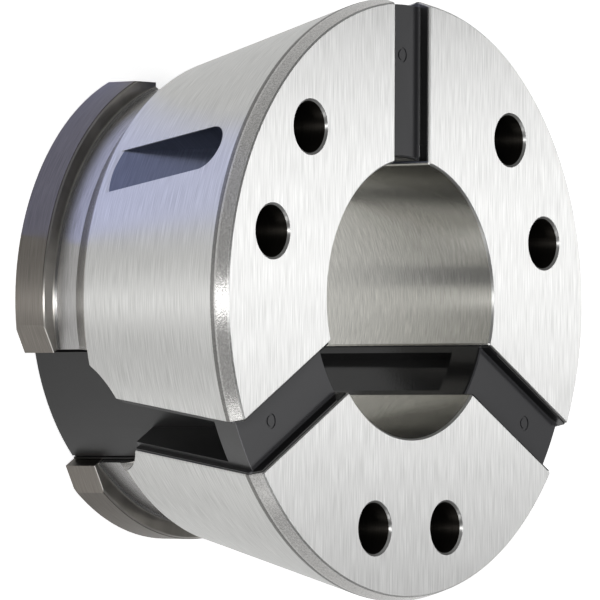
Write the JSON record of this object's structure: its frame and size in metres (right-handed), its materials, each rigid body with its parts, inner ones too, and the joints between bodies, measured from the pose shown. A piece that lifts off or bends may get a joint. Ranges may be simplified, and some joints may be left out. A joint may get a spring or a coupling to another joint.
{
  "type": "round collet",
  "caption": "Quick-change collet head with a round bore: hardened steel segments bonded by moulded rubber webs, wrench pin holes in the face, clamping cone and coupling neck behind.",
  "frame": {"origin": "centre of the bore at the rear face, which the collet stands on", "axes": "+Z along the bore axis, from the rear face to the front face; +X from the axis through the middle of the keyed segment"},
  "size_m": [0.0961, 0.0964, 0.0503],
  "materials": {
    "steel": "ground and hardened, satin",
    "rubber": "moulded, satin black"
  },
  "bodies": {
    "rubber_webs": {"rubber_web_1": "rubber", "rubber_web_2": "rubber", "rubber_web_3": "rubber"},
    "segment_1": {"steel_segment_1": "steel"},
    "segment_2": {"steel_segment_2": "steel"},
    "segment_3": {"steel_segment_3": "steel"}
  },
  "joints": [
    {"name": "close_1", "type": "slide", "parent": "rubber_webs", "child": "segment_1", "axis": [-1, 0, 0], "range_m": [0, 0.0015], "stiffness_N_per_m": 50000, "deforming": ["rubber_web_1", "rubber_web_2", "rubber_web_3"]},
    {"name": "close_2", "type": "slide", "parent": "rubber_webs", "child": "segment_2", "axis": [0.5, -0.866, 0], "range_m": [0, 0.0015], "stiffness_N_per_m": 50000, "deforming": ["rubber_web_1", "rubber_web_2", "rubber_web_3"]},
    {"name": "close_3", "type": "slide", "parent": "rubber_webs", "child": "segment_3", "axis": [0.5, 0.866, 0], "range_m": [0, 0.0015], "stiffness_N_per_m": 50000, "deforming": ["rubber_web_1", "rubber_web_2", "rubber_web_3"]}
  ],
  "couplings": [
    {"joint": "close_2", "follows": "close_1", "ratio": 1},
    {"joint": "close_3", "follows": "close_1", "ratio": 1}
  ]
}
